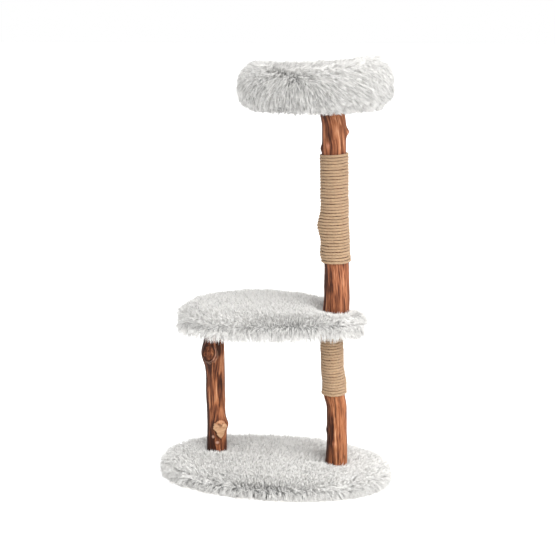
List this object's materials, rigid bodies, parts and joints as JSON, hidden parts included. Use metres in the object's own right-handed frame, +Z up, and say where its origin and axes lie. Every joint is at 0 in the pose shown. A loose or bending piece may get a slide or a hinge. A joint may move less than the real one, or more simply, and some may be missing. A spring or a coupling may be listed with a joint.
{
  "type": "cat tree",
  "caption": "Free-standing cat tree: oval shaggy base, two natural log posts with sisal wraps, an egg-shaped middle platform and a round raised-rim bed on top.",
  "frame": {"origin": "middle of the base's flat underside, on the floor", "axes": "+Z up, +X along the base's long side towards the tall post, +Y across the base towards its back"},
  "size_m": [0.5946, 0.3634, 1.0607],
  "materials": {
    "fur": "long shaggy off-white plush pile, matt, with grey roots",
    "log_wood": "debarked natural log, reddish brown with dark streaks and knots, sealed, satin",
    "sisal_rope": "twisted three-strand sisal, tan, dry and slightly hairy",
    "board": "raw particle board",
    "lining": "thin spunbond lining cloth, grey, matt",
    "foam": "soft open-cell foam, cream",
    "zinc_steel": "bright zinc plating"
  },
  "bodies": {
    "root": {"base_fur_cover": "fur", "platform_fur_cover": "fur", "bed_fur_cover": "fur", "short_post": "log_wood", "lower_post": "log_wood", "upper_post": "log_wood", "lower_rope_wrap": "sisal_rope", "upper_rope_wrap": "sisal_rope", "base_board": "board", "platform_board": "board", "bed_board": "board", "base_backing_sheet": "lining", "platform_underside_panel": "lining", "bed_underside_panel": "lining", "platform_foam_pad": "foam", "bed_bolster": "foam", "bed_foam_pad": "foam", "base_bolt_short_post": "zinc_steel", "base_washer_short_post": "zinc_steel", "base_bolt_tall_post": "zinc_steel", "base_washer_tall_post": "zinc_steel", "short_post_lower_insert": "zinc_steel", "short_post_upper_insert": "zinc_steel", "lower_post_lower_insert": "zinc_steel", "lower_post_upper_insert": "zinc_steel", "upper_post_lower_insert": "zinc_steel", "upper_post_upper_insert": "zinc_steel", "platform_washer": "zinc_steel", "platform_bolt": "zinc_steel", "platform_joint_stud": "zinc_steel", "bed_washer": "zinc_steel", "bed_bolt": "zinc_steel"}
  },
  "joints": []
}
